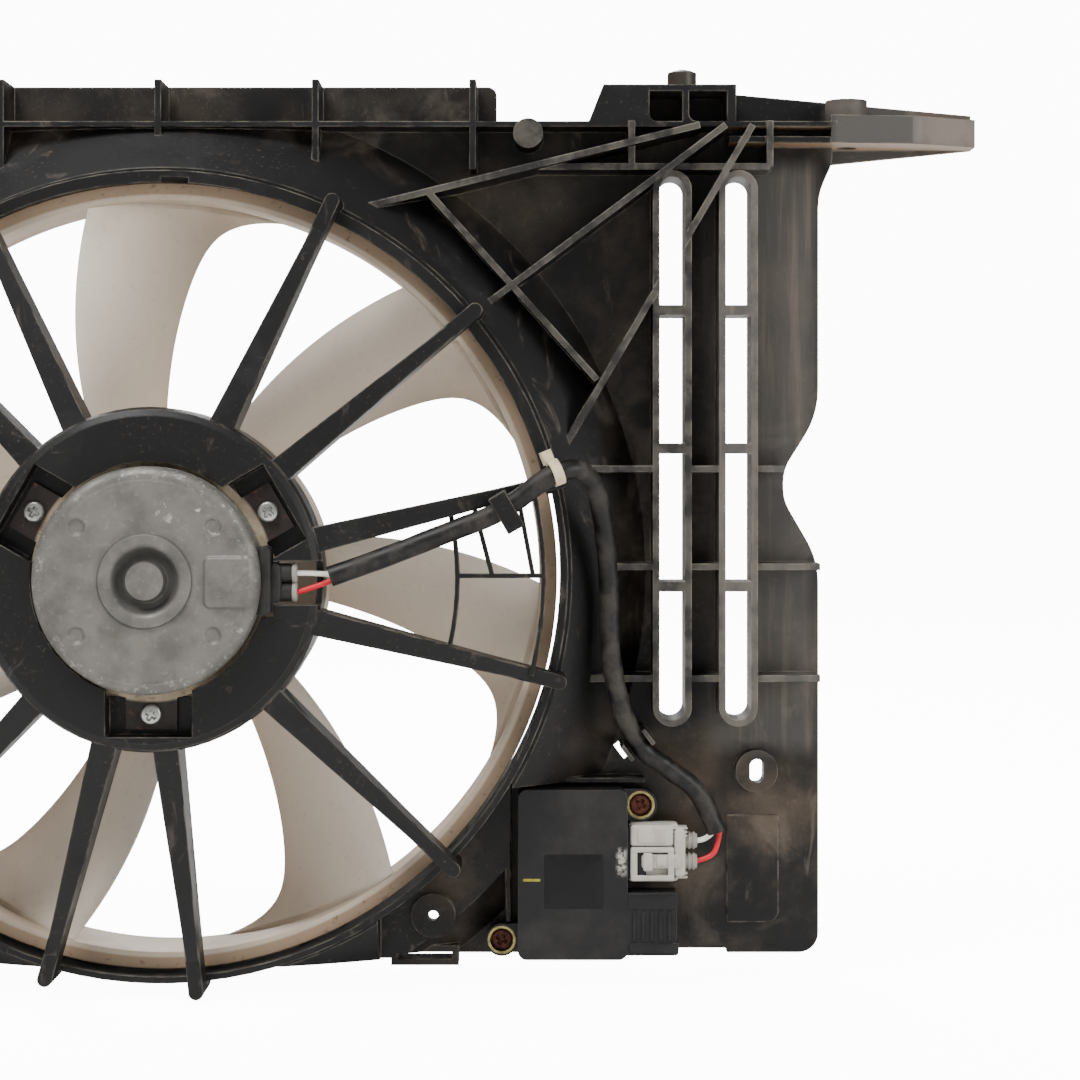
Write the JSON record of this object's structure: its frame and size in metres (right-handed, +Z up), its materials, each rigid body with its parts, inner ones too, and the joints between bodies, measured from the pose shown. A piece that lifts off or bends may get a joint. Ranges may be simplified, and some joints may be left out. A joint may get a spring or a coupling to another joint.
{
  "type": "radiator fan shroud",
  "caption": "Radiator fan shroud of a car: moulded panel and barrel, motor carrier on spokes, ring fan on a brushed motor, fan controller and two-wire lead.",
  "frame": {"origin": "where the fan axis meets the plane of the rim that rests on the radiator", "axes": "+Y along the fan axis towards the radiator, +X to the right seen from the engine, +Z up"},
  "size_m": [0.6743, 0.1112, 0.4127],
  "materials": {
    "shroud_plastic": "glass-filled moulded plastic, dusty",
    "fan_plastic": "beige moulded plastic",
    "zinc_steel": "deep-drawn steel, zinc plated and dulled",
    "bright_steel": "turned or stamped steel",
    "screw_steel": "zinc-yellow steel, rusted",
    "brass": "turned brass, dulled",
    "ferrite": "sintered ferrite",
    "sintered_bronze": "oil-filled sintered bronze",
    "brush_carbon": "pressed carbon",
    "phenolic": "phenolic moulding",
    "core_steel": "stacked electrical steel",
    "copper": "enamelled copper",
    "controller_plastic": "moulded plastic",
    "cast_aluminium": "die-cast",
    "circuit_board": "glass-epoxy board",
    "heat_rubber": "thermal pad",
    "capacitor_can": "sleeved can",
    "plug_plastic": "light grey moulded plastic",
    "seal_rubber": "ribbed silicone",
    "grommet_rubber": "moulded rubber",
    "sleeve_plastic": "smooth PVC sleeve",
    "wire_white": "wire insulation",
    "wire_red": "wire insulation",
    "tie_nylon": "nylon"
  },
  "bodies": {
    "shroud": {"fan_shroud": "shroud_plastic", "motor_can": "zinc_steel", "motor_front_cover": "zinc_steel", "motor_mounting_ring": "zinc_steel", "motor_screws": "screw_steel", "motor_magnets": "ferrite", "front_bearing": "bright_steel", "rear_bearing": "sintered_bronze", "brush_holder": "phenolic", "brushes": "brush_carbon", "brush_springs": "bright_steel", "controller_case": "controller_plastic", "controller_base": "cast_aluminium", "controller_board": "circuit_board", "heat_pad": "heat_rubber", "controller_capacitors": "capacitor_can", "controller_terminals": "copper", "controller_bushings": "brass", "controller_screws": "screw_steel", "plug_housing": "plug_plastic", "plug_lock": "plug_plastic", "plug_seals": "seal_rubber", "motor_lead_grommet": "grommet_rubber", "harness_sleeve": "sleeve_plastic", "wire_white": "wire_white", "wire_red": "wire_red", "cable_tie": "tie_nylon"},
    "fan_rotor": {"fan": "fan_plastic", "hub_insert": "bright_steel", "fan_washer": "bright_steel", "fan_nut": "bright_steel", "motor_shaft": "bright_steel", "armature_core": "core_steel", "armature_windings": "copper", "commutator": "copper"}
  },
  "joints": [
    {"name": "fan_spin", "type": "hinge", "parent": "shroud", "child": "fan_rotor", "pos_m": [0, 0, 0], "axis": [0, 1, 0], "continuous": true}
  ]
}
